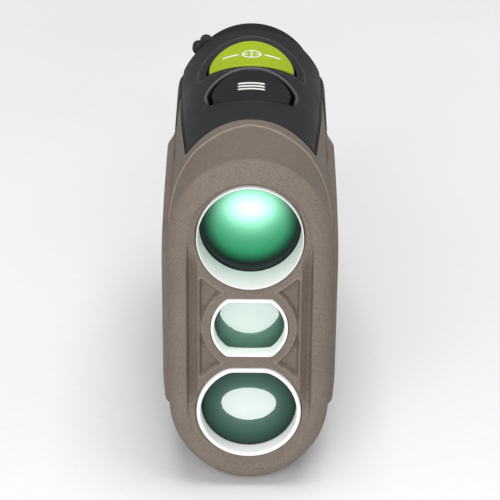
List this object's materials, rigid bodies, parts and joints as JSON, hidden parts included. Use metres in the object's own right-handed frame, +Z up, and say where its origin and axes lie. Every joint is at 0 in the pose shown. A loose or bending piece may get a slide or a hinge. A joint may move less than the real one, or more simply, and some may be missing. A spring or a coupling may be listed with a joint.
{
  "type": "laser rangefinder",
  "caption": "Hand-held laser rangefinder with stacked objective, emitter and receiver lenses, top keys, a turning diopter eyepiece and a screw battery cap.",
  "frame": {"origin": "under the middle of the body, on the surface that it stands on", "axes": "+Z up, -Y towards the target (objectives), +Y towards the user's eye, +X to the right as seen from the target"},
  "size_m": [0.0388, 0.099, 0.076],
  "materials": {
    "taupe_rubber": "fine matte speckled rubber armour, taupe",
    "black_shell": "matte moulded black plastic",
    "lime_key": "satin lime green plastic",
    "white_bezel": "satin white ring",
    "green_glass": "strong green anti-reflection coating",
    "teal_glass": "teal green coated lens",
    "black_metal": "black anodised",
    "silver_metal": "plain steel",
    "brass": "turned brass",
    "board_green": "solder mask",
    "chip_black": "moulded chip package",
    "black_rubber": "soft matte black rubber",
    "clear_glass": "clear glass with a faint coating",
    "cell_jacket": "plain shrink jacket",
    "flex_amber": "amber polyimide film"
  },
  "bodies": {
    "root": {"front_armour": "taupe_rubber", "left_grip_pad": "taupe_rubber", "right_grip_pad": "taupe_rubber", "top_cover": "black_shell", "case_body": "black_shell", "rear_cover": "black_shell", "measure_switch": "chip_black", "menu_switch": "chip_black", "button_board": "board_green", "objective_bezel": "white_bezel", "emitter_bezel": "white_bezel", "receiver_bezel": "white_bezel", "objective_retaining_ring": "black_metal", "objective_lens": "green_glass", "objective_barrel": "black_metal", "emitter_window": "teal_glass", "emitter_holder": "black_metal", "collimator_lens": "clear_glass", "laser_diode": "silver_metal", "receiver_lens": "teal_glass", "receiver_tube": "black_metal", "photodiode": "silver_metal", "optics_plate": "black_metal", "roof_prism": "clear_glass", "prism_holder": "black_metal", "display_panel": "clear_glass", "display_flex": "flex_amber", "key_flex": "flex_amber", "eyepiece_tube": "black_metal", "main_board": "board_green", "processor": "chip_black", "memory_chip": "chip_black", "shield_can": "silver_metal", "laser_capacitor": "chip_black", "battery_tube": "black_shell", "battery_cell": "cell_jacket", "contact_spring": "silver_metal", "tripod_foot": "black_shell", "tripod_bush": "brass", "rear_screw_1": "silver_metal", "rear_screw_2": "silver_metal", "rear_screw_3": "silver_metal", "rear_screw_4": "silver_metal"},
    "measure_key": {"measure_button": "lime_key"},
    "menu_key": {"menu_button": "black_shell"},
    "diopter": {"diopter_ring": "black_shell", "eyecup": "black_rubber"},
    "ocular": {"ocular_barrel": "black_metal", "field_lens": "clear_glass", "eye_lens": "clear_glass"},
    "cap_carriage": {"cap_seal": "black_rubber"},
    "cap": {"battery_cap": "black_shell"}
  },
  "joints": [
    {"name": "measure_press", "type": "slide", "parent": "root", "child": "measure_key", "axis": [0, 0, -1], "range_m": [0, 0.0008], "stiffness_N_per_m": 1500},
    {"name": "menu_press", "type": "slide", "parent": "root", "child": "menu_key", "axis": [0, 0, -1], "range_m": [0, 0.0008], "stiffness_N_per_m": 1500},
    {"name": "diopter_turn", "type": "hinge", "parent": "root", "child": "diopter", "pos_m": [0, 0.036, 0.0553], "axis": [0, 1, 0], "range_deg": [-45, 45]},
    {"name": "ocular_focus", "type": "slide", "parent": "root", "child": "ocular", "axis": [0, 1, 0], "range_m": [-0.0013, 0.0013]},
    {"name": "cap_lift", "type": "slide", "parent": "root", "child": "cap_carriage", "axis": [0, 1, 0], "range_m": [0, 0.0028]},
    {"name": "cap_turn", "type": "hinge", "parent": "cap_carriage", "child": "cap", "pos_m": [0, 0.0338, 0.0175], "axis": [0, 1, 0], "range_deg": [0, 990]}
  ],
  "couplings": [
    {"joint": "ocular_focus", "follows": "diopter_turn", "m_per_rad": 0.0015915},
    {"joint": "cap_lift", "follows": "cap_turn", "m_per_rad": 0.00015915}
  ]
}
